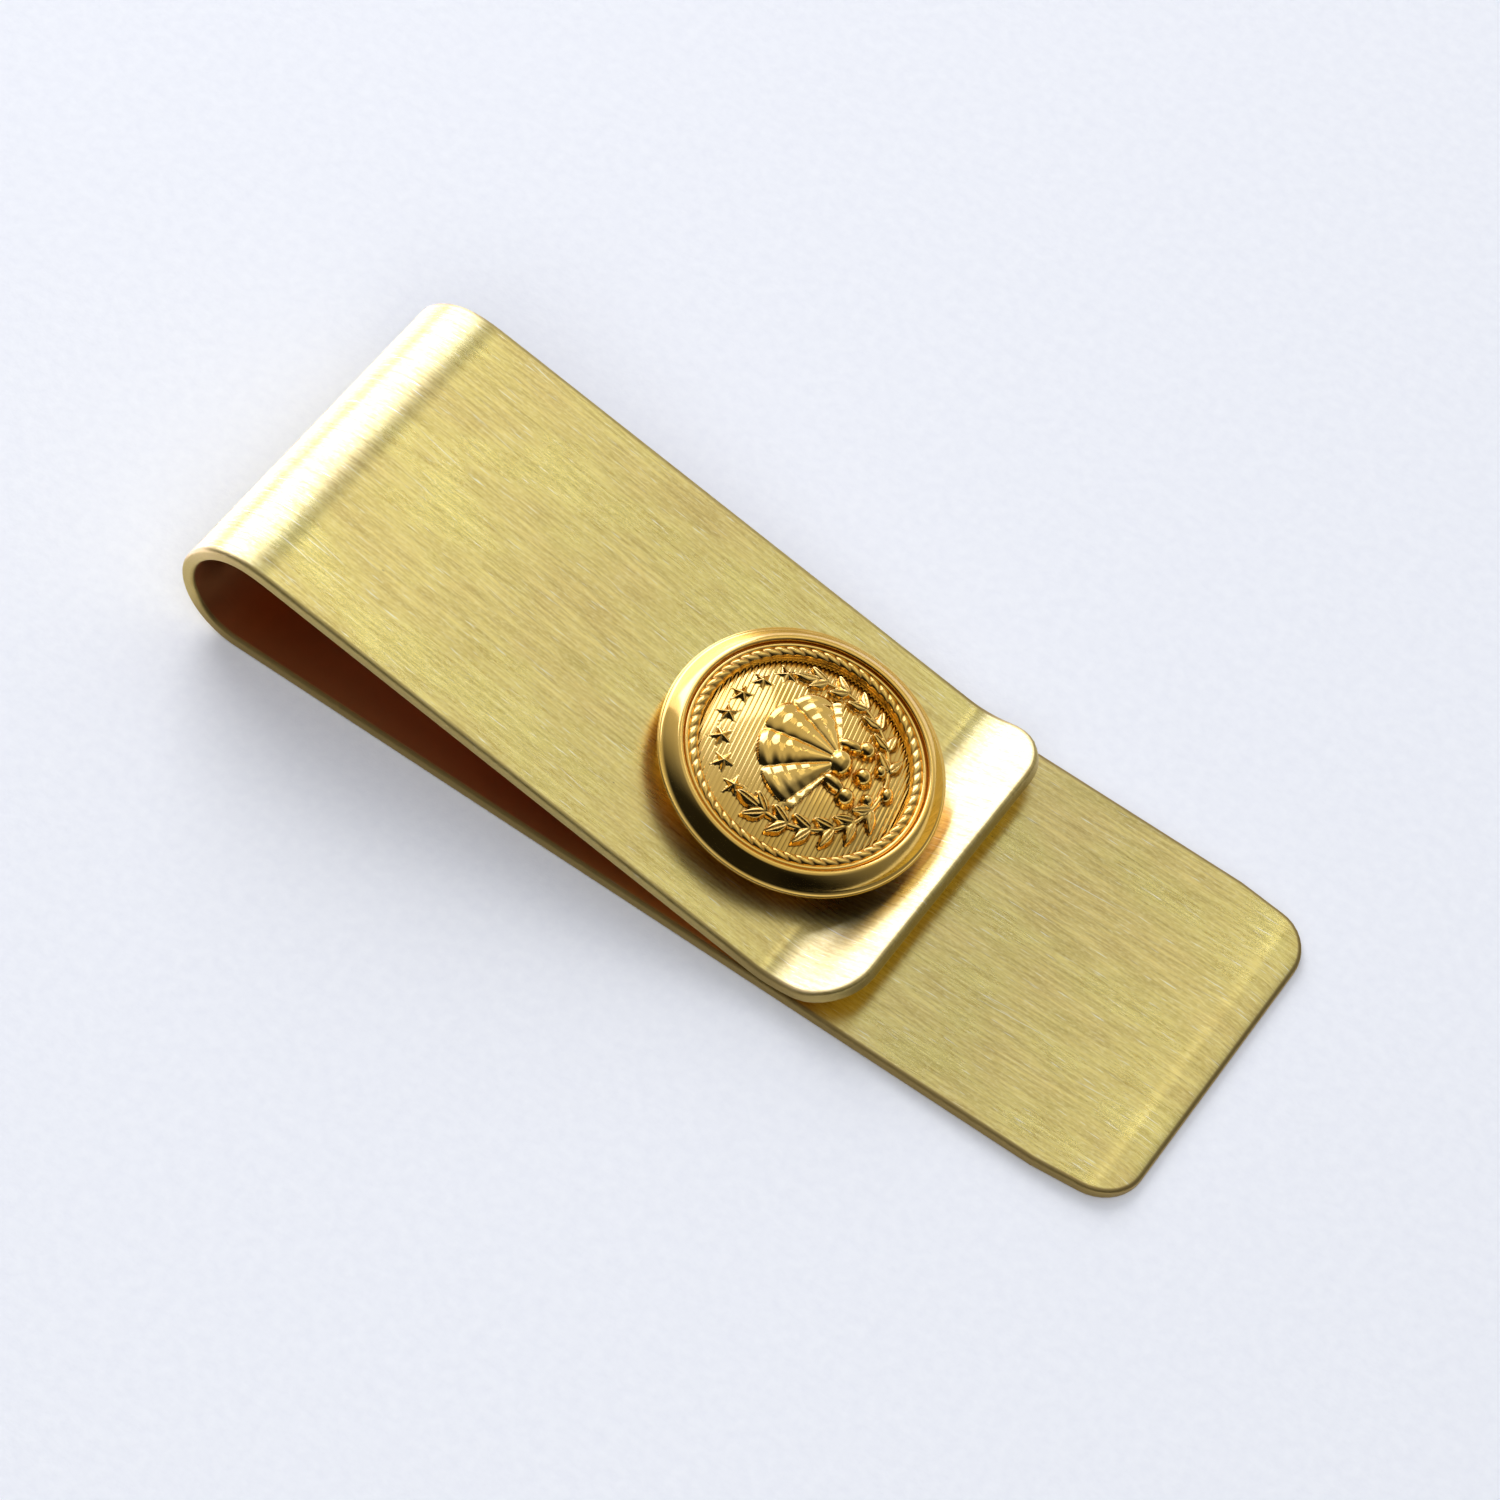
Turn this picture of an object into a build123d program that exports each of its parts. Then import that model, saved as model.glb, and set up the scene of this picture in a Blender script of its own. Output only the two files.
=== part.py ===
"""Money clip: a bent brass strip with a struck dress button soldered to its front leaf.

X runs along the clip, from the bow (-X) to the free end of the back leaf (+X).
Y runs across the strip and Z is up. The origin is at the middle of the underside.
All sizes are in millimetres.
"""
from build123d import *
from math import cos, radians, sin, tan
import os

# Strip
strip_width = 25.4
sheet = 0.9
clip_length = 70.5
end_corner = 3.0
end_taper = 0.6
taper_run = 6.0
end_roll = 2.8
end_edge = 0.45

# Bow: a round bend that turns the strip back over itself
bow_outer = 4.5
bow_flat = 2.0
bow_mid = bow_outer - sheet / 2
bow_x = -clip_length / 2 + bow_outer

# Front leaf: it slopes down to the back leaf, nearly touches it, then curls up into a lip
leaf_slope = 10.3
contact_gap = 0.05
lip_inner = 6.5
lip_slope = 24.0
lip_end_x = 14.95
lip_corner = 3.6

# Button, measured from the top face of the front leaf along the button's own axis
button_along_leaf = 33.5
bead_radius = 9.4
bead_height = 1.83
bead_wire = 0.12
rim_radius = 8.55
rim_height = 2.95
rim_width = 0.6
groove_height = 2.6
ring_radius = 7.72
ring_wire = 0.15
rope_radius = 7.3
rope_wire = 0.34
ground_radius = 6.95
ground_height = 2.5
ground_crown = 0.4
face_wall = 0.3
seat_radius = 8.76
roll_under = 0.2
back_wall = 0.25
back_foot = 3.6
back_lip = 0.3
filler_radius = 6.6
filler_top = 2.05
filler_gap = 0.05
shank_radius = 1.6
solder_radius = 4.4
solder_height = 0.6

# Relief on the button's face: a scallop shell between two sprays of leaves, under small stars
motif_turn = 12.0
shell_ribs = 9
shell_spread = 156.0
rib_start = 0.7
rib_end = 3.4
rib_root = 0.12
rib_tip = 0.42
hub_drop = 1.5
hub_radius = 1.0
hub_raise = 0.28
rib_raise = 0.1
spray_radius = 4.9
spray_from = 170.0
spray_to = 68.0
leaf_pairs = 6
leaf_start = 0.55
leaf_run = 0.95
leaf_bulge = 0.3
leaf_point = 0.06
leaf_spread = 36.0
stem_wire = 0.17
stem_raise = 0.05
berry_radius = 0.3
berry_turn = 7.4
berry_raise = 0.1
star_count = 7
star_arc = 100.0
star_radius = 5.7
star_size = 0.6
star_lift = 0.2

os.makedirs("parts", exist_ok=True)


# Middle line of the strip, as seen from the side: where each bend starts and ends
half_width = strip_width / 2
tip_x = clip_length / 2
slope_sin = sin(radians(leaf_slope))
slope_cos = cos(radians(leaf_slope))
lip_mid = lip_inner + sheet / 2
lip_centre_z = sheet + contact_gap + sheet + lip_inner
bow_top = Vector(bow_x + bow_mid * slope_sin, bow_outer + bow_mid * slope_cos)
lip_start_z = lip_centre_z - lip_mid * slope_cos
lip_start = Vector(bow_top.X + (bow_top.Y - lip_start_z) / tan(radians(leaf_slope)), lip_start_z)
lip_centre = Vector(lip_start.X + lip_mid * slope_sin, lip_centre_z)
lip_bend_end = lip_centre + Vector(sin(radians(lip_slope)), -cos(radians(lip_slope))) * lip_mid
lip_run = (lip_end_x - lip_bend_end.X) / cos(radians(lip_slope))
seam_top = bow_top + Vector(slope_cos, -slope_sin) * bow_flat
seam_bottom = Vector(bow_x + bow_flat, sheet / 2)

# Long flat leaf that the clip lies on: its free end narrows a little and its top face rolls down
with BuildPart() as back_leaf:
    with BuildSketch(Plane.XZ):
        with BuildLine():
            Polyline(
                (tip_x, end_edge),
                (tip_x, 0),
                (seam_bottom.X, 0),
                (seam_bottom.X, sheet),
                (tip_x - end_roll, sheet),
            )
            TangentArc((tip_x - end_roll, sheet), (tip_x, end_edge), tangent=(1, 0))
        make_face()
    extrude(amount=half_width, both=True)
    with BuildSketch(Plane.XY) as outline:
        with BuildLine():
            Polyline(
                (seam_bottom.X, half_width),
                (tip_x - taper_run, half_width),
                (tip_x, half_width - end_taper),
                (tip_x, end_taper - half_width),
                (tip_x - taper_run, -half_width),
                (seam_bottom.X, -half_width),
                close=True,
            )
        make_face()
        fillet(outline.vertices().group_by(Axis.X)[-1], end_corner)
    extrude(amount=sheet, mode=Mode.INTERSECT)
back_leaf.part.label = "back_leaf"
export_step(back_leaf.part, "parts/back_leaf.step")

# Round bow with a short straight piece of each leaf
with BuildPart() as spring_bow:
    with BuildSketch(Plane.XZ):
        with BuildLine():
            Line(seam_bottom, (bow_x, sheet / 2))
            CenterArc((bow_x, bow_outer), bow_mid, -90, -(180 + leaf_slope))
            Line(bow_top, seam_top)
        trace(line_width=sheet)
    extrude(amount=half_width, both=True)
spring_bow.part.label = "spring_bow"
export_step(spring_bow.part, "parts/spring_bow.step")

# Sloping leaf with its turned-up lip
with BuildPart() as front_leaf:
    with BuildSketch(Plane.XZ):
        with BuildLine():
            Line(seam_top, lip_start)
            CenterArc(lip_centre, lip_mid, -90 - leaf_slope, leaf_slope + lip_slope)
            PolarLine(lip_bend_end, lip_run, lip_slope)
        trace(line_width=sheet)
    extrude(amount=half_width, both=True)
    lip_face = front_leaf.faces().sort_by(Axis.X)[-1]
    fillet(lip_face.edges().filter_by(Axis.Y, reverse=True), lip_corner)
front_leaf.part.label = "front_leaf"
export_step(front_leaf.part, "parts/front_leaf.step")


# Button: its own frame stands on the front leaf, with its axis square to the leaf
slope_way = Vector(slope_cos, 0, -slope_sin)
leaf_normal = Vector(slope_sin, 0, slope_cos)
leaf_top_start = Vector(bow_top.X, 0, bow_top.Y) + leaf_normal * (sheet / 2)
button_foot = leaf_top_start + slope_way * button_along_leaf
button_plane = Plane(origin=button_foot, x_dir=slope_way, z_dir=leaf_normal)
section_plane = Plane(origin=button_foot, x_dir=slope_way, z_dir=(0, -1, 0))
motif_way = slope_way * -sin(radians(motif_turn)) + Vector(0, cos(radians(motif_turn)), 0)
motif_plane = Plane(origin=button_foot, x_dir=motif_way, z_dir=leaf_normal)
button_axis = Axis(button_foot, leaf_normal)

bead_centre = bead_radius - bead_wire
seat_height = bead_height - bead_wire + face_wall
rim_inner = rim_radius - rim_width
ground_top = ground_height + ground_crown
ground_ball = (ground_radius**2 + ground_crown**2) / (2 * ground_crown)


def ground_at(radius):
    """Height of the crowned ground of the face at this distance from the button's axis."""
    return ground_top - ground_ball + (ground_ball**2 - radius**2) ** 0.5


def polar(radius, angle):
    """Point on the motif's own plane, with its angle counted from straight up, clockwise."""
    return radius * sin(radians(angle)), radius * cos(radians(angle))


# Relief, piece by piece: each is made upright at the origin and laid on the face below
with BuildPart() as rib:
    with Locations((0, 0, rib_start)):
        Cone(rib_root, rib_tip, rib_end - rib_start, align=(Align.CENTER, Align.CENTER, Align.MIN))
    with Locations((0, 0, rib_end)):
        Sphere(rib_tip)

with BuildPart() as spray_leaf:
    with Locations((0, 0, leaf_start)):
        Sphere(leaf_bulge)
        Cone(leaf_bulge, leaf_point, leaf_run, align=(Align.CENTER, Align.CENTER, Align.MIN))

with BuildPart() as star:
    with BuildSketch(Plane.XY.offset(-face_wall / 2)):
        with BuildLine():
            Polyline(
                *[polar(star_size * (1 - 0.58 * (tip % 2)), 36 * tip) for tip in range(10)],
                close=True,
            )
        make_face()
    extrude(amount=face_wall / 2 + star_lift)

shell_fan = [shell_spread * (turn / (shell_ribs - 1) - 0.5) for turn in range(shell_ribs)]
star_fan = [star_arc * (turn / (star_count - 1) - 0.5) for turn in range(star_count)]
spray_step = (spray_from - spray_to) / leaf_pairs
spray_fan = [spray_from - spray_step * (turn + 0.5) for turn in range(leaf_pairs)]

# Struck face shell, rolled under at its rim to hold the back
with BuildPart(motif_plane) as button_face:
    with BuildSketch(section_plane):
        with BuildLine():
            ThreePointArc(
                (0, ground_top),
                (ground_radius / 2, ground_at(ground_radius / 2)),
                (ground_radius, ground_height),
            )
            Line((ground_radius, ground_height), (rim_inner, groove_height))
            ThreePointArc(
                (rim_inner, groove_height),
                (rim_radius - rim_width / 2, rim_height),
                (rim_radius, rim_height - 0.1),
            )
            Line((rim_radius, rim_height - 0.1), (bead_centre, bead_height + bead_wire))
            ThreePointArc(
                (bead_centre, bead_height + bead_wire),
                (bead_radius, bead_height),
                (bead_centre, bead_height - bead_wire),
            )
            Polyline(
                (bead_centre, bead_height - bead_wire),
                (seat_radius - roll_under, bead_height - bead_wire),
                (seat_radius - roll_under, seat_height),
                (seat_radius, seat_height),
                (seat_radius, seat_height + back_wall + filler_gap),
                (rim_radius - face_wall, rim_height - face_wall),
                (rim_inner, groove_height - face_wall),
                (ground_radius, ground_height - face_wall),
            )
            ThreePointArc(
                (ground_radius, ground_height - face_wall),
                (ground_radius / 2, ground_at(ground_radius / 2) - face_wall),
                (0, ground_top - face_wall),
            )
            Line((0, ground_top - face_wall), (0, ground_top))
        make_face()
    revolve(axis=button_axis)

    # Smooth ring and rope ring, half sunk into the face
    with BuildSketch(section_plane):
        with Locations((ring_radius, groove_height - 0.04)):
            Circle(ring_wire)
        with Locations((rope_radius, ground_height + 0.02)):
            Circle(rope_wire)
        with Locations((rope_radius, 0)):
            Rectangle(2, 2 * (ground_height - face_wall / 2), mode=Mode.SUBTRACT)
    revolve(axis=button_axis)

    # Scallop shell: ribs fanned up from a smooth round hinge
    hub_lift = ground_at(hub_drop)
    with Locations((0, -hub_drop, hub_lift + hub_raise)):
        Sphere(hub_radius)
    for angle in shell_fan:
        with Locations(Location((0, -hub_drop, hub_lift + rib_raise), (-90, angle, 0))):
            add(rib.part)

    # Sprays of leaves on both sides, each on its own stem, with berries where they cross
    spray_lift = ground_at(spray_radius)
    for start in (90 - spray_from, 90 + spray_to):
        with Locations((0, 0, spray_lift + stem_raise)):
            Torus(spray_radius, stem_wire, major_angle=spray_from - spray_to, rotation=(0, 0, start))
    for side in (-1, 1):
        for angle in spray_fan:
            stem_point = (*polar(spray_radius, side * angle), spray_lift)
            for lean in (-leaf_spread, leaf_spread):
                with Locations(Location(stem_point, (-90, side * (angle - 90) + lean, 0))):
                    add(spray_leaf.part)
    for angle in (180 - berry_turn, 180, 180 + berry_turn):
        with Locations((*polar(spray_radius, angle), spray_lift + berry_raise)):
            Sphere(berry_radius)

    # Small stars over the shell
    for angle in star_fan:
        star_point = (*polar(star_radius, angle), ground_at(star_radius))
        with Locations(Location(star_point, (0, 0, -angle))):
            add(star.part)
button_face.part.label = "button_face"
export_step(button_face.part, "parts/button_face.step")

# Dished back shell, held in the rolled rim
back_inside = solder_height + back_wall
back_shoulder = seat_radius - back_lip
back_pitch = (seat_height + back_wall - back_inside) / (back_shoulder - back_foot)
with BuildPart() as button_back:
    with BuildSketch(section_plane):
        with BuildLine():
            Polyline(
                (0, solder_height),
                (back_foot, solder_height),
                (back_shoulder, seat_height),
                (seat_radius - filler_gap, seat_height),
                (seat_radius - filler_gap, seat_height + back_wall),
                (back_shoulder, seat_height + back_wall),
                (back_foot, back_inside),
                (0, back_inside),
                close=True,
            )
        make_face()
    revolve(axis=button_axis)
button_back.part.label = "button_back"
export_step(button_back.part, "parts/button_back.step")

# Stiffening disc between the two shells
filler_under = back_inside + filler_gap
with BuildPart() as button_filler:
    with BuildSketch(section_plane):
        with BuildLine():
            Polyline(
                (0, filler_under),
                (back_foot, filler_under),
                (filler_radius, filler_under + back_pitch * (filler_radius - back_foot)),
                (filler_radius, filler_top),
                (0, filler_top),
                close=True,
            )
        make_face()
    revolve(axis=button_axis)
button_filler.part.label = "button_filler"
export_step(button_filler.part, "parts/button_filler.step")

# Trimmed shank, standing in the solder
with BuildPart() as shank_stub:
    with BuildSketch(button_plane.offset(filler_gap)):
        Circle(shank_radius)
    extrude(amount=solder_height - filler_gap)
shank_stub.part.label = "shank_stub"
export_step(shank_stub.part, "parts/shank_stub.step")

# Bed of solder that holds the button on the front leaf
with BuildPart() as solder_bed:
    with BuildSketch(section_plane):
        with BuildLine():
            Line((shank_radius, 0), (solder_radius, 0))
            ThreePointArc(
                (solder_radius, 0),
                (back_foot + 0.25, solder_height * 0.55),
                (back_foot, solder_height),
            )
            Line((back_foot, solder_height), (shank_radius, solder_height))
            Line((shank_radius, solder_height), (shank_radius, 0))
        make_face()
    revolve(axis=button_axis)
    with BuildSketch(button_plane):
        Circle(shank_radius)
    extrude(amount=filler_gap)
solder_bed.part.label = "solder_bed"
export_step(solder_bed.part, "parts/solder_bed.step")
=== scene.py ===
"""Looks of a brass money clip with a struck gilt button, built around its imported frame.

Lengths are in millimetres until a mesh, a lamp or the camera is made, where MM turns them into metres.
"""

import math

import bmesh
import bpy
import numpy as np
from mathutils import Matrix, Vector


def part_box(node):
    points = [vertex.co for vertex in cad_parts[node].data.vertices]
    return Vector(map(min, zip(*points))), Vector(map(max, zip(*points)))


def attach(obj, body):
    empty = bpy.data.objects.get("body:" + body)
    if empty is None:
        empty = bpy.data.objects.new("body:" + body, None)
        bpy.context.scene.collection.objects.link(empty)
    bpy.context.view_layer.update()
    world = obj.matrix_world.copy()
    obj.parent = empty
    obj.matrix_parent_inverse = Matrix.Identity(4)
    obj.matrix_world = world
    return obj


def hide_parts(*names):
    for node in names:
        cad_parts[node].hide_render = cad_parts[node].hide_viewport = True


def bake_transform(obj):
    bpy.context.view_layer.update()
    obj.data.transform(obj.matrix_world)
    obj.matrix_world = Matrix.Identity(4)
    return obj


MM = 0.001

# Strip: what the frame's boxes don't say about its bends, corners and edges
LEAF_SLOPE = math.radians(10.3)
LIP_INNER = 6.5
LIP_SLOPE = math.radians(24)
LIP_CORNER = 3.6
END_CORNER = 3.0
END_TAPER = 0.6
TAPER_RUN = 6.0
END_ROLL = 2.8
END_EDGE = 0.45
BEND_EASE = 1.6
OUTER_ROUND = 0.24
INNER_ROUND = 0.2
FACE_MARGIN = 0.12

# Strip: how finely it is divided, and how its two faces share one texture square
ARC_STEP = math.radians(3)
LEAF_STEP = 1.5
ROLL_ROWS = 12
EASE_ROWS = 10
ROUND_POINTS = 6
CORNER_POINTS = 10
WIDTH_POINTS = 25
ROW_GAP = 0.05
UV_SPAN = 200.0
UV_INSIDE = 0.4

# Strip: where along X the inner face's painted shade ends and turns to a painted orange glow, and at
# what heights the edges' painted shade lifts
INSIDE_SHADE_END = (8, 14)
INSIDE_GLOW_RANGE = (-10, 8)
EDGE_SHADE_RISE = (0.9, 3)
EDGE_SHADE_FADE = 0.4

# Button, measured from the front leaf along the button's axis
SHANK_MIDDLE = 0.325
MOTIF_TURN = math.radians(12)
GROUND_RADIUS = 6.95
GROUND_HEIGHT = 2.1
GROUND_CROWN = 1.4
LINE_PITCH = 0.3
LINE_DEPTH = 0.08
LINE_HALF = 0.22
ROPE_RADIUS = 7.3
ROPE_HEIGHT = 2.45
ROPE_WIRE = 0.36
ROPE_STRANDS = 58
RELIEF_COLUMNS = 310
RIM_POINTS = 288
STRAND_POINTS = 12
ROPE_POINTS = 15

# Struck design, from the middle of the face; angles are clockwise from the top of the design
HINGE = (0.0, -2.1)
SHELL_LENGTH = 5.3
SHELL_SPREAD = 70
SHELL_RIBS = 9
STEM_RADIUS = 5.3
STEM_WIRE = 0.19
STEM_HEIGHT = 0.3
STEM_END = 76
LEAF_PAIRS = 6
LEAF_TURNS = (164, 82)
LEAF_LEAN = 36
LEAF_HEIGHT = 0.5
STAR_COUNT = 7
STAR_SPREAD = 54
STAR_RADIUS = 5.55

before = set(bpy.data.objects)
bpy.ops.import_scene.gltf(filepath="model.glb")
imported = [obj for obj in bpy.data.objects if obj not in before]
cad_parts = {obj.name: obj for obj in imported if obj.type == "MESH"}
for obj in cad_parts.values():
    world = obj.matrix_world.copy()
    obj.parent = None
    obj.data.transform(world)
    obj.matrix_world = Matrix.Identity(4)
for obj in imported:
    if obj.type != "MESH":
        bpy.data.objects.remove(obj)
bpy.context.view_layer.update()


def box_mm(node):
    """Lowest and highest corner of a frame node, in millimetres."""
    low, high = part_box(node)
    return np.array(low) / MM, np.array(high) / MM


# ---------------------------------------------------------------- meshes


def add_piece(name, points, faces, body, replaced):
    """Smooth mesh object from points in millimetres, riding on a body and standing for frame nodes."""
    mesh = bpy.data.meshes.new(name)
    mesh.from_pydata((np.asarray(points) * MM).tolist(), [], faces)
    mesh.update()
    mesh.shade_smooth()
    piece = bpy.data.objects.new(name, mesh)
    bpy.context.scene.collection.objects.link(piece)
    if body:
        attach(piece, body)
    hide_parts(*replaced)
    return piece


def point_value(piece, name, values):
    """Stores one number per point, for a material to read."""
    attribute = piece.data.attributes.new(name, "FLOAT", "POINT")
    attribute.data.foreach_set("value", np.asarray(values, np.float32))


def ring_faces(rows, columns):
    """Quads of a grid of points whose last column joins its first."""
    faces = []
    for row in range(rows - 1):
        for column in range(columns):
            a, b = row * columns + column, row * columns + (column + 1) % columns
            faces.append((a, b, b + columns, a + columns))
    return faces


# ---------------------------------------------------------------- strip

back_low, back_high = box_mm("back_leaf")
bow_low, bow_high = box_mm("spring_bow")
front_low, front_high = box_mm("front_leaf")

sheet = back_high[2] - back_low[2]
half_width = (back_high[1] - back_low[1]) / 2
bow_outer = (bow_high[2] - bow_low[2]) / 2
bow_mid = bow_outer - sheet / 2
bow_x = bow_low[0] + bow_outer
bow_flat = back_low[0] - bow_x
lip_mid = LIP_INNER + sheet / 2
lip_centre_z = front_low[2] + sheet + LIP_INNER
bow_top_x = bow_x + bow_mid * math.sin(LEAF_SLOPE)
bow_top_z = bow_outer + bow_mid * math.cos(LEAF_SLOPE)
leaf_drop = bow_top_z - (lip_centre_z - lip_mid * math.cos(LEAF_SLOPE))
leaf_run = leaf_drop / math.sin(LEAF_SLOPE)
lip_centre_x = bow_top_x + leaf_run * math.cos(LEAF_SLOPE) + lip_mid * math.sin(LEAF_SLOPE)
lip_bend_x = lip_centre_x + lip_mid * math.sin(LIP_SLOPE)
lip_end_x = front_high[0] - sheet / 2 * math.sin(LIP_SLOPE)
lip_run = (lip_end_x - lip_bend_x) / math.cos(LIP_SLOPE)

# The strip's middle line from the free end of the back leaf: length and turn of each stretch
SPINE = [
    (back_high[0] - bow_x, 0.0),
    (bow_mid * (math.pi + LEAF_SLOPE), -(math.pi + LEAF_SLOPE)),
    (leaf_run, 0.0),
    (lip_mid * (LEAF_SLOPE + LIP_SLOPE), LEAF_SLOPE + LIP_SLOPE),
    (lip_run, 0.0),
]
strip_length = sum(run for run, turn in SPINE)
bend_end = SPINE[0][0] + SPINE[1][0]
seam_bottom = back_high[0] - back_low[0]
seam_top = bend_end + bow_flat


def spine_at(along):
    """Middle line's x, z and heading at a distance along the strip."""
    x, z, heading = back_high[0], sheet / 2, math.pi
    left = along
    for index, (run, turn) in enumerate(SPINE):
        step = left if index == len(SPINE) - 1 else min(left, run)
        bend = turn * step / run
        if turn:
            radius = run / turn
            x += radius * (math.sin(heading + bend) - math.sin(heading))
            z -= radius * (math.cos(heading + bend) - math.cos(heading))
        else:
            x += step * math.cos(heading)
            z += step * math.sin(heading)
        heading += bend
        left -= step
        if left <= 0:
            break
    return x, z, heading


def strip_stations():
    """Distances along the strip with a row of points: close together where it bends."""
    stations, start = [0.0], 0.0
    for run, turn in SPINE:
        count = math.ceil(abs(turn) / ARC_STEP) if turn else math.ceil(run / LEAF_STEP)
        stations += [start + run * (step + 1) / count for step in range(count)]
        start += run
    stations += [END_ROLL * step / ROLL_ROWS for step in range(1, ROLL_ROWS)]
    stations += [bend_end + BEND_EASE * step / EASE_ROWS for step in range(1, EASE_ROWS + 1)]
    return sorted(stations)


def strip_layers():
    """Inset and height of each outline round the sheet's edge, from its outer to its inner face."""
    angles = [math.pi / 2 * (1 - step / (ROUND_POINTS - 1)) for step in range(ROUND_POINTS)]

    def rounded(reach):
        half = sheet / 2 - reach
        turn = [(reach * (1 - math.cos(a)), half + reach * math.sin(a)) for a in angles]
        return [(reach + FACE_MARGIN, sheet / 2)] + turn

    inner = [(inset, -height) for inset, height in reversed(rounded(INNER_ROUND))]
    return rounded(OUTER_ROUND) + inner


def tip_rows(edge, way, corner, taper, inset):
    """Rows of points along a free end's rounded corner, for an outline set in from the edge."""
    lean = math.atan2(taper, TAPER_RUN)
    centre = half_width - math.tan(lean) * (TAPER_RUN - corner) - corner / math.cos(lean)
    turns = np.linspace(lean, math.pi / 2, CORNER_POINTS)
    reach = corner - inset
    return [(edge - way * (corner - reach * math.sin(t)), centre + reach * math.cos(t)) for t in turns]


def plan_rows(start, end, corner, taper, tip, inset):
    """Distance along and half width of each row of points, for an outline set in from the edge."""
    if tip is None:
        inner = [s for s in strip_stations() if start + ROW_GAP < s < end - ROW_GAP]
        return [(s, half_width - inset) for s in [start, *inner, end]]
    way, edge, seam = (1, end, start) if tip == "end" else (-1, start, end)
    rows = tip_rows(edge, way, corner, taper, inset)
    bend = edge - way * TAPER_RUN
    low, high = sorted((seam, rows[0][0]))
    inner = [s for s in [*strip_stations(), bend] if low + ROW_GAP < s < high - ROW_GAP]
    inner = [seam, *sorted(inner, reverse=tip == "start")]
    narrow = [taper * max(0, 1 - abs(edge - s) / TAPER_RUN) for s in inner]
    return [(s, half_width - inset - less) for s, less in zip(inner, narrow)] + rows


def sheet_shift(along, height, rolled):
    """Height on the sheet after the roll of the free end."""
    if rolled and along < END_ROLL:
        drop = (sheet - END_EDGE) * (1 - along / END_ROLL) ** 3
        height += (sheet / 2 - height) * drop / sheet
    return height


def bend_lift(along):
    """Lift of the sheet where the bow's bend eases into the front leaf, gone again by the lip."""
    past, full = along - bend_end, BEND_EASE**2 / bow_mid / 6
    if past > BEND_EASE:
        return full * max(0, 1 - (past - BEND_EASE) / (leaf_run - BEND_EASE))
    left = (1 - abs(past) / BEND_EASE) ** 3 / 2 if past > -BEND_EASE else 0
    return full * (left if past < 0 else 1 - left)


def smooth_step(value, low, high):
    """Smooth change from 0 at low to 1 at high."""
    share = min(max((value - low) / (high - low), 0), 1)
    return share * share * (3 - 2 * share)


class StripMesh:
    """Points, faces and per-point values of one stretch of the bent strip."""

    def __init__(self, rolled):
        self.rolled = rolled
        self.points, self.uvs, self.faces = [], [], []
        self.values = {"edge": [], "deep": [], "inside_glow": []}

    def put(self, along, across, height, edge):
        """Adds the point at a place on the flat sheet, and returns its index."""
        x, z, heading = spine_at(along)
        inside = height < 0
        height = sheet_shift(along, height, self.rolled) + bend_lift(along)
        self.points.append((x - height * math.sin(heading), across, z + height * math.cos(heading)))
        side = UV_INSIDE if inside else 0
        self.uvs.append((along / UV_SPAN, (across + half_width) / UV_SPAN + side))
        # Painted shade on the inner face, fading out along X; the next value but one is the share of
        # its painted orange glow near the contact
        deep = (1 - smooth_step(x, *INSIDE_SHADE_END)) if inside and not edge else 0
        # Edge tone: tarnish plus painted shade, the painted shade lifting with height above the paper
        self.values["edge"].append(edge * (1 - EDGE_SHADE_FADE * smooth_step(z, *EDGE_SHADE_RISE)))
        self.values["deep"].append(deep)
        self.values["inside_glow"].append(smooth_step(x, *INSIDE_GLOW_RANGE))
        return len(self.points) - 1

    def add_face_sheet(self, rows, height):
        """Grid over one face of the sheet; returns its left side, end and right side."""
        spread = np.linspace(-1, 1, WIDTH_POINTS)
        table = [[self.put(s, u * w, height, 0.0) for u in spread] for s, w in rows]
        for one, two in zip(table, table[1:]):
            self.faces += [(one[c], one[c + 1], two[c + 1], two[c]) for c in range(len(spread) - 1)]
        return [row[0] for row in table], table[-1][1:-1], [row[-1] for row in table]

    def add_edge_line(self, rows, height, capped):
        """Outline at one height on the sheet's edge; returns its left side, end and right side."""
        left = [self.put(s, -w, height, 1.0) for s, w in rows]
        right = [self.put(s, w, height, 1.0) for s, w in rows]
        s, w = rows[-1]
        spread = np.linspace(-1, 1, WIDTH_POINTS)[1:-1]
        return left, [self.put(s, u * w, height, 1.0) for u in spread] if capped else [], right

    def join(self, rings):
        """Faces between each outline and the next."""
        for upper, lower in zip(rings, rings[1:]):
            for a, b in zip(upper, lower):
                self.faces += [(a[i], a[i + 1], b[i + 1], b[i]) for i in range(len(a) - 1)]


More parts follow.
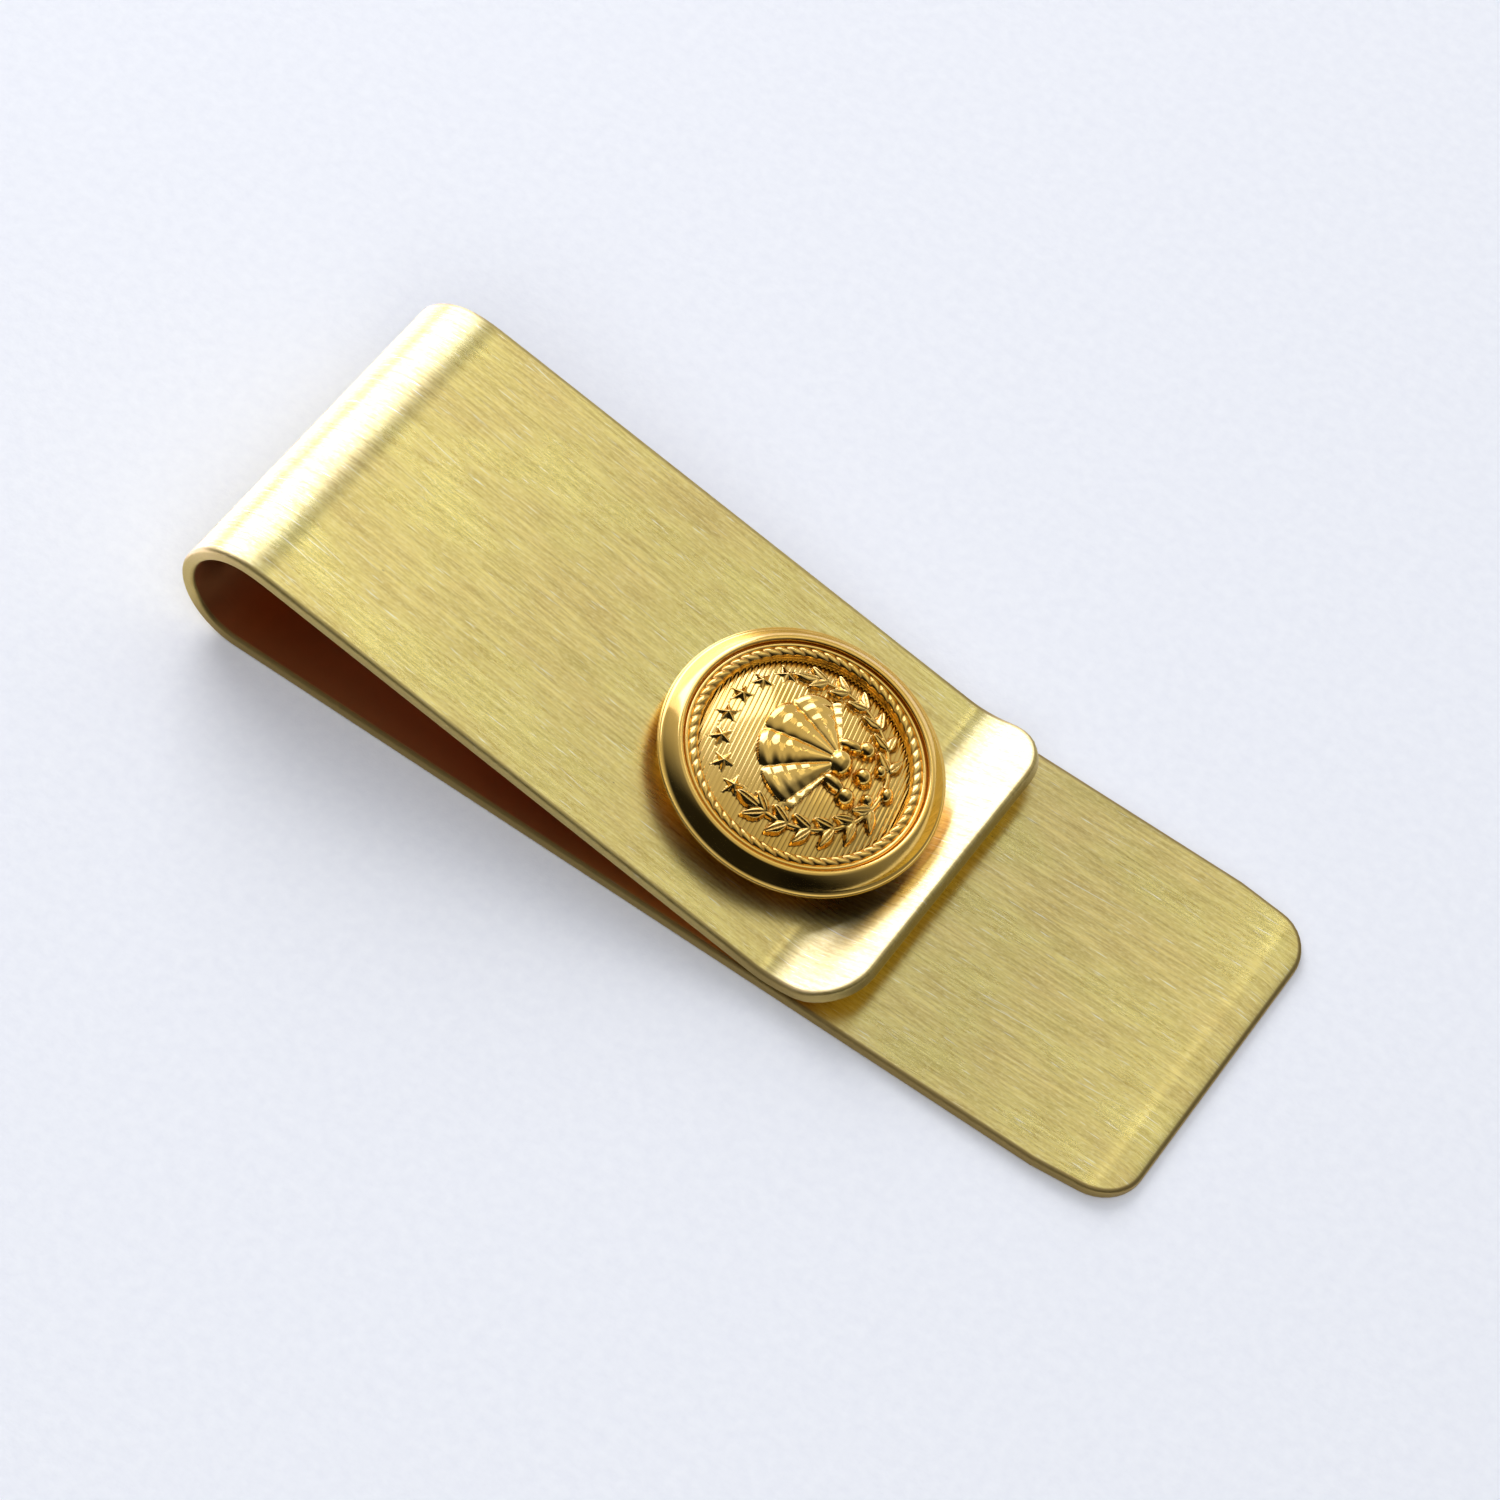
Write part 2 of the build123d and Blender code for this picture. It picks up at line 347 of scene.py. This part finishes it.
def strip_piece(name, start, end, corner, taper, tip, body, replaced):
    """One stretch of the bent strip; tip names its free end, if it has one."""
    layers, rings = strip_layers(), []
    shape = StripMesh(tip == "start")
    for number, (inset, height) in enumerate(layers):
        rows = plan_rows(start, end, corner, taper, tip, inset)
        if number in (0, len(layers) - 1):
            left, cap, right = shape.add_face_sheet(rows, height)
        else:
            left, cap, right = shape.add_edge_line(rows, height, bool(tip))
        rings.append([left + cap + right[::-1]] if tip else [left, right[::-1]])
    shape.join(rings)
    piece = add_piece(name, shape.points, shape.faces, body, replaced)
    face_outward(piece)
    layer = piece.data.uv_layers.new(name="strip")
    corners = np.zeros(len(piece.data.loops), np.int32)
    piece.data.loops.foreach_get("vertex_index", corners)
    layer.data.foreach_set("uv", np.array(shape.uvs, np.float32)[corners].ravel())
    for key, numbers in shape.values.items():
        point_value(piece, key, numbers)
    return piece


def face_outward(piece):
    """Turns every face of an open or closed shell the same way, outward."""
    shell = bmesh.new()
    shell.from_mesh(piece.data)
    bmesh.ops.recalc_face_normals(shell, faces=shell.faces)
    shell.to_mesh(piece.data)
    shell.free()


# ---------------------------------------------------------------- button

slope_way = np.array([math.cos(LEAF_SLOPE), 0, -math.sin(LEAF_SLOPE)])
leaf_normal = np.array([math.sin(LEAF_SLOPE), 0, math.cos(LEAF_SLOPE)])
shank_low, shank_high = box_mm("shank_stub")
button_foot = (shank_low + shank_high) / 2 - leaf_normal * SHANK_MIDDLE
motif_right = -math.sin(MOTIF_TURN) * slope_way + math.cos(MOTIF_TURN) * np.array([0, 1, 0])
motif_up = np.cross(leaf_normal, motif_right)
face_low, face_high = box_mm("button_face")
bead_radius = (face_high[1] - face_low[1]) / 2


def on_button(right, up, height):
    """Frame points for places on the button: across and up the motif, and above the leaf."""
    right, up, height = (np.ravel(v)[:, None] for v in (right, up, height))
    return button_foot + right * motif_right + up * motif_up + height * leaf_normal


def ground_at(radius):
    """Height of the face's crowned ground at a distance from the axis."""
    ball = (GROUND_RADIUS**2 + GROUND_CROWN**2) / (2 * GROUND_CROWN)
    rise = np.sqrt(ball**2 - np.minimum(radius, GROUND_RADIUS) ** 2)
    return GROUND_HEIGHT + GROUND_CROWN - ball + rise


def turned(x, y, centre, angle):
    """Coordinates about a centre, with the second axis turned clockwise from up by angle."""
    dx, dy = x - centre[0], y - centre[1]
    return dx * math.cos(angle) - dy * math.sin(angle), dx * math.sin(angle) + dy * math.cos(angle)


def clock(radius, angle):
    """Point at an angle in degrees clockwise from up."""
    return radius * math.sin(math.radians(angle)), radius * math.cos(math.radians(angle))


def dome(x, y, centre, reach, angle, height):
    """Half of an ellipsoid that stands on the ground."""
    across, along = turned(x, y, centre, math.radians(angle))
    return height * np.sqrt(np.clip(1 - (across / reach[0]) ** 2 - (along / reach[1]) ** 2, 0, None))


def spray_leaf(x, y, root, angle, length, width, height):
    """Pointed leaf with a sunk midrib, lying out from its root."""
    across, along = turned(x, y, root, math.radians(angle))
    share = np.clip(along / length, 0, 1)
    half = width * np.sin(math.pi * share**0.8) ** 0.9 + 1e-6
    side = np.abs(across) / half
    ends = np.minimum(1, 2.2 * np.sin(math.pi * share) ** 0.5)
    body = height * np.sqrt(np.clip(1 - side**2, 0, None)) * ends
    rib = 0.35 * np.exp(-((across / 0.05) ** 2))
    return np.where((along > 0) & (along < length) & (side < 1), body * (1 - rib), 0)


def star(x, y, centre, angle, size, height):
    """Five-pointed star with a ridge down each arm."""
    across, along = turned(x, y, centre, math.radians(angle))
    reach = np.hypot(across, along)
    sector = math.radians(36)
    off = np.abs((np.arctan2(across, along) + sector) % (2 * sector) - sector)
    inner = 0.42
    outline = size * inner * math.sin(sector) / (np.sin(off) + inner * np.sin(sector - off))
    return height * np.clip(1 - reach / outline, 0, None)


def shell(x, y, hinge, length, spread, ribs):
    """Scallop shell: a swell with ribs fanned up from its hinge and faint growth lines across them."""
    dx, dy = x - hinge[0], y - hinge[1]
    reach, turn = np.hypot(dx, dy), np.degrees(np.arctan2(dx, dy))
    fan = np.clip(np.abs(turn) / spread, 0, 1)
    wave = np.abs(np.cos(math.pi * ribs * (turn + spread) / (4 * spread) + math.pi * (ribs % 2) / 4))
    outline = length * (1 - 0.13 * fan**2) + 0.2 * (wave**0.5 - 0.5)
    share = reach / outline
    inside = (share < 1) & (np.abs(turn) < spread)
    swell = np.sqrt(np.clip(1 - share**2.2, 0, None)) * (1 - 0.35 * fan**2)
    growth = 0.035 * (1 + np.cos(2 * math.pi * 5 * share**1.4)) * np.clip(share * 2 - 0.5, 0, 1)
    height = 0.22 + 0.35 * swell + 0.42 * np.sqrt(np.clip(share, 0, 1)) * (wave**0.7 - 0.6) - growth
    return np.where(inside, height, 0)


def spray(x, y, side):
    """Leaves in pairs along one side's stem, with berries between them and one leaf at its tip."""
    shapes = []
    for turn in np.linspace(*LEAF_TURNS, LEAF_PAIRS):
        root, way = clock(STEM_RADIUS, side * turn), side * (turn - 90)
        shapes.append(spray_leaf(x, y, root, way + LEAF_LEAN * side, 1.6, 0.42, LEAF_HEIGHT))
        shapes.append(spray_leaf(x, y, root, way - LEAF_LEAN * side, 1.5, 0.42, LEAF_HEIGHT))
        shapes.append(dome(x, y, clock(5.9, side * (turn - 8)), (0.24, 0.24), 0, 0.32))
    tip = clock(STEM_RADIUS, side * STEM_END)
    shapes.append(spray_leaf(x, y, tip, side * -14, 1.8, 0.44, LEAF_HEIGHT))
    return shapes


def stem(x, y):
    """Half-round stem of both sprays, round the lower part of the face."""
    off = (np.hypot(x, y) - STEM_RADIUS) / STEM_WIRE
    below = np.abs(np.degrees(np.arctan2(x, y))) > STEM_END
    return np.where(below, np.sqrt(np.clip(1 - off**2, 0, None)) * STEM_HEIGHT, 0)


def berries(x, y):
    """Cluster of domes under the shell, from large ones to a flat one at the bottom."""
    shapes = [dome(x, y, clock(3.75, turn), (0.66, 0.66), 0, 0.9) for turn in (150, 180, 210)]
    shapes += [dome(x, y, clock(4.75, turn), (0.46, 0.46), 0, 0.65) for turn in (166, 194)]
    return [*shapes, dome(x, y, clock(5.6, 180), (0.6, 0.48), 0, 0.7)]


def relief(x, y):
    """Height of the struck design above the ground."""
    shapes = [shell(x, y, HINGE, SHELL_LENGTH, SHELL_SPREAD, SHELL_RIBS)]
    shapes.append(dome(x, y, (HINGE[0], HINGE[1] + 0.05), (1.0, 0.85), 0, 1.05))
    for side in (-1, 1):
        shapes.append(dome(x, y, (side * 1.5, HINGE[1] - 0.1), (0.95, 0.5), side * 78, 0.8))
        shapes += spray(x, y, side)
    shapes += [stem(x, y), *berries(x, y)]
    for turn in np.linspace(-STAR_SPREAD, STAR_SPREAD, STAR_COUNT):
        shapes.append(star(x, y, clock(STAR_RADIUS, turn), turn, 0.92, 0.42))
    top = np.maximum.reduce(shapes)
    lines = np.abs((y / LINE_PITCH + 0.5) % 1 - 0.5) / LINE_HALF
    return np.where(top > 0.02, top + 0.02, LINE_DEPTH * np.clip(lines, 0, 1))


def soften(grid, reach):
    """Mean of a grid over a square window, for how deep a place lies among its neighbours."""
    size = 2 * reach + 1
    for _ in range(2):
        total = np.cumsum(np.pad(grid, ((reach + 1, reach), (0, 0)), mode="edge"), axis=0)
        grid = ((total[size:] - total[:-size]) / size).T
    return grid


def button_relief():
    """The struck field of the face, inside the rope ring."""
    reach = GROUND_RADIUS + 0.1
    steps = np.array([0, LINE_HALF, LINE_HALF + 0.1, 0.5, 0.9 - LINE_HALF, 1 - LINE_HALF])
    rows = (np.arange(-24, 24)[:, None] + steps).ravel() * LINE_PITCH
    columns = np.linspace(-reach, reach, RELIEF_COLUMNS)
    x, y = np.meshgrid(columns, rows[np.abs(rows) < reach])
    raised = relief(x, y)
    # How sunk each place lies, for the grime and painted shade in the gilt's recesses
    near, wide = soften(raised, 4) - raised, soften(raised, 14) - raised
    sunk = np.clip(near / 0.2 + (wide - 0.2) / 0.8, 0, 1)
    height = raised + ground_at(np.hypot(x, y))
    keep = np.hypot(x, y) <= reach
    index = -np.ones(keep.shape, int)
    index[keep] = np.arange(keep.sum())
    corners = (index[:-1, :-1], index[:-1, 1:], index[1:, 1:], index[1:, :-1])
    quads = np.stack(corners, -1).reshape(-1, 4)
    quads = quads[(quads >= 0).all(1)]
    points = on_button(x[keep], y[keep], height[keep])
    piece = add_piece("face_relief", points, quads.tolist(), "front", ["button_face"])
    point_value(piece, "sunk", sunk[keep])
    return piece


def round_piece(name, radii, heights, around, sunk):
    """Ring surface swept round the button's axis; radii, heights and sunk may vary with the angle."""
    angles = np.arange(around) * 2 * math.pi / around
    shape = (len(radii), around)
    radii, heights, sunk = (np.broadcast_to(np.asarray(v), shape) for v in (radii, heights, sunk))
    points = on_button(radii * np.sin(angles), radii * np.cos(angles), heights)
    faces = ring_faces(*shape)
    piece = add_piece(name, points, faces, "front", ["button_face"])
    face_outward(piece)
    point_value(piece, "sunk", sunk.ravel())
    return piece


def rope_ring():
    """Cable ring: slanted strands laid round a half-round ring."""
    around = ROPE_STRANDS * STRAND_POINTS
    angles = np.arange(around) * 2 * math.pi / around
    place = np.linspace(-1, 1, ROPE_POINTS)[:, None]
    strand = np.abs(np.cos(ROPE_STRANDS / 2 * angles[None, :] + 1.25 * place))
    bulge = np.sqrt(np.clip(1 - place**2, 0, None))
    heights = ROPE_HEIGHT + ROPE_WIRE * bulge * (0.55 + 0.45 * strand**0.55)
    radii = ROPE_RADIUS + ROPE_WIRE * place + 0 * angles[None, :]
    # Gilt between the strands darkened: grime and painted shade
    return round_piece("rope_ring", radii, heights, around, np.clip(1 - strand * 1.6, 0, 1) * 0.9)


def face_rim():
    """Outside the rope: thin ring, groove, rounded rim, sloping wall, thin bead and rolled edge."""

    def arc(centre, reach, first, last, steps):
        turns = np.radians(np.linspace(first, last, steps))
        return [(centre[0] + reach * math.cos(t), centre[1] + reach * math.sin(t)) for t in turns]

    profile = [(6.93, 2.1), (7.0, 2.42), (7.58, 2.46)]
    profile += arc((7.74, 2.56), 0.16, 200, 0, 9)
    profile += [(7.93, 2.44), (7.97, 2.44)]
    profile += arc((8.16, 2.72), 0.19, 180, 60, 9)
    profile += [(8.31, 2.87), (8.37, 2.83), (8.62, 2.61), (8.86, 2.37), (9.06, 2.14), (9.2, 1.95)]
    profile += arc((bead_radius - 0.12, 1.83), 0.12, 88, -90, 11)
    profile += [(8.9, 1.71), (8.6, 1.71), (8.56, 1.75), (8.56, 2.0)]
    radii = np.array([[p[0]] for p in profile])
    heights = np.array([[p[1]] for p in profile])
    # Gilt in the groove darkened: grime and painted shade
    groove = np.clip(1 - np.abs(radii - 7.94) / 0.1, 0, 1)
    return round_piece("face_rim", radii, heights, RIM_POINTS, groove)


# ---------------------------------------------------------------- materials


class Shader:
    """Small helper that adds and links a material's nodes."""

    def __init__(self, name):
        self.material = bpy.data.materials.new(name)
        self.material.use_nodes = True
        self.tree = self.material.node_tree
        self.surface = self.tree.nodes["Principled BSDF"]

    def add(self, kind, links=None, values=None, **settings):
        made = self.tree.nodes.new("ShaderNode" + kind)
        for key, value in settings.items():
            setattr(made, key, value)
        for key, value in (values or {}).items():
            made.inputs[key].default_value = value
        for key, source in (links or {}).items():
            self.tree.links.new(source, made.inputs[key])
        return made

    def uv_mm(self):
        """Place on the strip in millimetres: along it, then across it."""
        uv = self.add("UVMap", uv_map="strip").outputs["UV"]
        scale = self.add("VectorMath", {0: uv}, {1: (UV_SPAN,) * 3}, operation="MULTIPLY")
        return scale.outputs[0]

    def noise(self, source, stretch, detail, roughness, offset=(0, 0, 0), turn=0):
        spin = (0, 0, math.radians(turn))
        rotation, placement = {"Rotation": spin}, {"Scale": stretch, "Location": offset}
        way = self.add("VectorRotate", {"Vector": source}, rotation, rotation_type="EULER_XYZ")
        placed = self.add("Mapping", {"Vector": way.outputs[0]}, placement)
        values = {"Scale": 1.0, "Detail": detail, "Roughness": roughness}
        return self.add("TexNoise", {"Vector": placed.outputs[0]}, values).outputs["Fac"]

    def between(self, source, low, high, to_low=0.0, to_high=1.0):
        made = self.add("MapRange", {"Value": source}, {1: low, 2: high, 3: to_low, 4: to_high})
        return made.outputs[0]

    def maths(self, operation, a, b):
        made = self.add("Math", operation=operation)
        for socket, value in zip(made.inputs, (a, b)):
            if isinstance(value, (int, float)):
                socket.default_value = value
            else:
                self.tree.links.new(value, socket)
        return made.outputs[0]

    def mix(self, factor, a, b):
        made = self.add("Mix", data_type="RGBA")
        if isinstance(factor, float):
            made.inputs[0].default_value = factor
        else:
            self.tree.links.new(factor, made.inputs[0])
        for key, value in ((6, a), (7, b)):
            if isinstance(value, tuple):
                made.inputs[key].default_value = (*value, 1)
            else:
                self.tree.links.new(value, made.inputs[key])
        return made.outputs[2]

    def mix_value(self, share, a, b):
        return self.maths("ADD", self.maths("MULTIPLY", a, 1 - share), self.maths("MULTIPLY", b, share))

    def attribute(self, name):
        return self.add("Attribute", attribute_name=name).outputs["Fac"]

    def finish(self, colour, roughness, height, depth, **sockets):
        link = self.tree.links.new
        link(colour, self.surface.inputs["Base Color"])
        link(roughness, self.surface.inputs["Roughness"])
        bump = self.add("Bump", {"Height": height}, {"Strength": 1.0, "Distance": depth * MM})
        link(bump.outputs[0], self.surface.inputs["Normal"])
        for key, value in sockets.items():
            self.surface.inputs[key.replace("_", " ")].default_value = value
        return self.material


def satin_brass():
    """Brass sheet brushed along its length, with fine scratches, rare pits, edges darkened by tarnish
    and painted shade, and an inside painted with shade that warms to a painted orange glow.
    """
    s = Shader("satin_brass")
    place = s.uv_mm()
    fine = s.noise(place, (0.38, 5.0, 1), 4, 0.62)
    streak = s.noise(place, (0.18, 1.8, 1), 3, 0.6, (3, 7, 0))
    cloud = s.noise(place, (0.11, 0.18, 1), 3, 0.55, (1, 2, 0))
    grain = s.noise(place, (2.5, 7, 1), 2, 0.6, (5, 3, 0))
    hair = s.noise(place, (0.45, 7, 1), 2, 0.5, (40, 13, 0))
    slanted = s.noise(place, (0.13, 6, 1), 2, 0.5, (17, 31, 0), turn=5)
    scratch = s.maths("MAXIMUM", s.between(hair, 0.65, 0.73), s.between(slanted, 0.68, 0.76, 0.0, 0.8))
    speck = s.noise(place, (1.6, 3, 1), 1, 0.5, (21, 9, 0))
    pit = s.between(speck, 0.80, 0.84)
    lay = s.mix_value(0.38, fine, streak)
    colour = s.mix(s.between(lay, 0.38, 0.62), (0.49, 0.35, 0.085), (0.97, 0.81, 0.28))
    tint = s.mix(s.between(cloud, 0.35, 0.65), (0.79, 0.70, 0.22), (0.88, 0.64, 0.24))
    colour = s.mix(0.35, colour, tint)
    colour = s.mix(s.between(grain, 0.45, 0.72, 0.0, 0.45), colour, (1.0, 0.88, 0.42))
    colour = s.mix(s.maths("MULTIPLY", scratch, 0.8), colour, (1.0, 0.97, 0.75))
    deep = s.attribute("deep")
    pit = s.maths("MULTIPLY", pit, s.maths("SUBTRACT", 1.0, deep))
    colour = s.mix(s.maths("MULTIPLY", pit, 0.7), colour, (0.24, 0.15, 0.06))
    # Edges darker: a tarnished edge tone and painted shade, darkest near the paper
    edge = s.attribute("edge")
    colour = s.mix(s.maths("MULTIPLY", edge, 0.9), colour, (0.42, 0.29, 0.10))
    # Inner face: painted shade, turning to a painted orange glow near the contact
    inside_shade_and_glow = s.mix(s.attribute("inside_glow"), (0.54, 0.21, 0.07), (0.95, 0.52, 0.15))
    colour = s.mix(deep, colour, inside_shade_and_glow)
    rough = s.between(s.mix_value(0.8, fine, cloud), 0.3, 0.7, 0.245, 0.325)
    rough = s.maths("ADD", rough, s.maths("MULTIPLY", edge, 0.2))
    rough = s.maths("ADD", rough, s.maths("MULTIPLY", deep, 0.15))
    height = s.maths("ADD", s.maths("MULTIPLY", fine, 0.8), s.maths("MULTIPLY", streak, 0.4))
    height = s.maths("SUBTRACT", height, s.maths("MULTIPLY", pit, 0.5))
    tangent = s.add("Tangent", direction_type="UV_MAP", uv_map="strip").outputs[0]
    s.tree.links.new(tangent, s.surface.inputs["Tangent"])
    s.surface.inputs["Metallic"].default_value = 1.0
    return s.finish(colour, rough, height, 0.011, Anisotropic=0.8, Anisotropic_Rotation=0.25)


def gilt():
    """Bright gilding, darker in what lies deep: grime and painted shade in the recesses."""
    s = Shader("gilt")
    place = s.add("TexCoord").outputs["Object"]
    grain = s.noise(place, (900, 900, 900), 3, 0.5)
    cloud = s.noise(place, (260, 260, 260), 2, 0.5, (1, 1, 1))
    sunk = s.attribute("sunk")
    colour = s.mix(s.between(cloud, 0.3, 0.7), (0.93, 0.56, 0.11), (1.0, 0.66, 0.18))
    # Darker where sunk: grime and painted shade in the recesses
    colour = s.mix(s.maths("MULTIPLY", sunk, 0.75), colour, (0.38, 0.13, 0.01))
    rough = s.between(s.maths("ADD", cloud, sunk), 0.3, 1.6, 0.10, 0.30)
    s.surface.inputs["Metallic"].default_value = 1.0
    return s.finish(colour, rough, grain, 0.0012)


def plain_metal(name, light, dark, low, high, scale):
    """Dull metal with a mottled colour, for the back of the button and its solder."""
    s = Shader(name)
    place = s.add("TexCoord").outputs["Object"]
    mottle = s.noise(place, (scale,) * 3, 4, 0.6)
    colour = s.mix(s.between(mottle, 0.3, 0.7), light, dark)
    s.surface.inputs["Metallic"].default_value = 1.0
    return s.finish(colour, s.between(mottle, 0.3, 0.7, low, high), mottle, 0.01)


def pressed_board():
    """Pressed board of the hidden filler."""
    s = Shader("filler_board")
    place = s.add("TexCoord").outputs["Object"]
    fibre = s.noise(place, (2500, 2500, 5000), 4, 0.7)
    colour = s.mix(s.between(fibre, 0.3, 0.7), (0.34, 0.25, 0.15), (0.47, 0.37, 0.24))
    return s.finish(colour, s.between(fibre, 0.3, 0.7, 0.8, 0.95), fibre, 0.03)


def paper():
    """Plain pale paper with a faint grain."""
    s = Shader("paper")
    place = s.add("TexCoord").outputs["Object"]
    grain = s.noise(place, (1200, 1200, 1200), 3, 0.6)
    colour = s.mix(s.between(grain, 0.3, 0.7), (0.83, 0.85, 0.91), (0.87, 0.89, 0.94))
    return s.finish(colour, s.between(grain, 0.3, 0.7, 0.85, 0.95), grain, 0.03)


# ---------------------------------------------------------------- assembly

brass = satin_brass()
gold = gilt()

back = strip_piece(
    "back_leaf_strip", 0.0, seam_bottom, END_CORNER, END_TAPER, "start", "back", ["back_leaf"]
)
bow = strip_piece("bow_strip", seam_bottom, seam_top, 0, 0, None, None, ["spring_bow"])
front = strip_piece(
    "front_leaf_strip", seam_top, strip_length, LIP_CORNER, 0, "end", "front", ["front_leaf"]
)
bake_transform(bow)
for piece in (back, bow, front):
    piece.data.materials.append(brass)

for piece in (button_relief(), rope_ring(), face_rim()):
    piece.data.materials.append(gold)

finishes = {
    "button_back": plain_metal("gilt_back", (0.92, 0.58, 0.15), (0.74, 0.44, 0.11), 0.2, 0.35, 400),
    "solder_bed": plain_metal("solder", (0.62, 0.61, 0.60), (0.42, 0.40, 0.38), 0.4, 0.6, 900),
    "button_filler": pressed_board(),
}
finishes["shank_stub"] = finishes["button_back"]
for node, material in finishes.items():
    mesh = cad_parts[node].data
    for index in range(len(mesh.materials)):
        mesh.materials[index] = material

# ---------------------------------------------------------------- stage


def floor():
    """Sheet of pale paper that the clip lies on."""
    reach = 600.0
    mesh = bpy.data.meshes.new("paper_floor")
    corners = [(-reach, -reach, 0), (reach, -reach, 0), (reach, reach, 0), (-reach, reach, 0)]
    mesh.from_pydata([tuple(c * MM for c in corner) for corner in corners], [], [(0, 1, 2, 3)])
    made = bpy.data.objects.new("paper_floor", mesh)
    bpy.context.scene.collection.objects.link(made)
    mesh.materials.append(paper())


def softbox(name, centre, size, radiance, colour=(1, 1, 1), facing=None, matt=True, gloss=True):
    """Rectangular lamp that lights matt surfaces, glossy ones or both; it faces the clip by default."""
    lamp = bpy.data.lights.new(name, "AREA")
    lamp.shape = "RECTANGLE"
    lamp.size, lamp.size_y = size[0] * MM, size[1] * MM
    lamp.energy = radiance * math.pi * lamp.size * lamp.size_y
    lamp.color = colour
    made = bpy.data.objects.new(name, lamp)
    made.location = Vector(centre) * MM
    away = -Vector(facing) if facing else Vector(centre)
    made.rotation_euler = away.to_track_quat("Z", "Y").to_euler()
    made.visible_diffuse = matt
    made.visible_glossy = gloss
    made.visible_camera = False
    bpy.context.scene.collection.objects.link(made)


def room():
    """World that is bright overhead and beyond the clip, and dim on its near side and its right."""
    world = bpy.data.worlds.new("room")
    world.use_nodes = True
    nodes, link = world.node_tree.nodes, world.node_tree.links.new
    way = nodes.new("ShaderNodeTexCoord").outputs["Generated"]

    def level(direction, spans):
        along = nodes.new("ShaderNodeVectorMath")
        along.operation = "DOT_PRODUCT"
        along.inputs[1].default_value = direction
        link(way, along.inputs[0])
        made = nodes.new("ShaderNodeMapRange")
        made.interpolation_type = "SMOOTHSTEP"
        for socket, value in zip(made.inputs[1:5], spans):
            socket.default_value = value
        link(along.outputs["Value"], made.inputs[0])
        return made.outputs[0]

    strength = nodes.new("ShaderNodeMath")
    strength.operation = "MULTIPLY"
    link(level((0, 0.9, 0.43), (-0.35, 0.40, 0.015, 0.62)), strength.inputs[0])
    link(level((1, 0, 0), (0.42, 0.75, 1.0, 0.38)), strength.inputs[1])
    background = nodes["Background"]
    background.inputs["Color"].default_value = (0.93, 0.95, 1.0, 1)
    link(strength.outputs[0], background.inputs["Strength"])
    bpy.context.scene.world = world


def camera():
    """Looks down at the clip from its near long side, rolled a little."""
    turn, lift, roll = math.radians(21.4), math.radians(55.5), math.radians(14.8)
    distance, target = 331.0, Vector((-0.37, 0.36, 2.0))
    level = math.cos(lift)
    backward = Vector((math.sin(turn) * level, -math.cos(turn) * level, math.sin(lift)))
    right = Vector((0, 0, 1)).cross(backward).normalized()
    up = backward.cross(right)
    rolled_right = right * math.cos(roll) + up * math.sin(roll)
    rolled_up = up * math.cos(roll) - right * math.sin(roll)
    facing = Matrix((rolled_right, rolled_up, backward)).transposed().to_4x4()
    lens = bpy.data.cameras.new("camera")
    lens.lens = 126.6
    lens.clip_start = 0.01
    made = bpy.data.objects.new("camera", lens)
    made.matrix_world = Matrix.Translation((target + backward * distance) * MM) @ facing
    bpy.context.scene.collection.objects.link(made)
    bpy.context.scene.camera = made


floor()
camera()
softbox("window_glare", (-452, 350, 413), (560, 560), 3.9, (0.50, 0.55, 1.0), matt=False)
softbox("window_low", (-480, 340, 190), (560, 420), 1.6, (0.60, 0.62, 1.0), matt=False)
softbox("window_sill", (-150, 60, 1), (220, 200), 2.6, (0.52, 0.48, 1.0), facing=(0, 0, 1), matt=False)
softbox("window", (-485, 372, 350), (520, 420), 4.8, (1.0, 0.99, 0.98), gloss=False)
softbox("overhead", (-25, 430, 790), (40, 360), 2.0, matt=False)
softbox("overhead_right", (215, 430, 735), (400, 360), 0.4, matt=False)
softbox("near_fill", (220, -530, 700), (900, 900), 1.75, gloss=False)
room()
bpy.context.scene.view_settings.view_transform = "Standard"
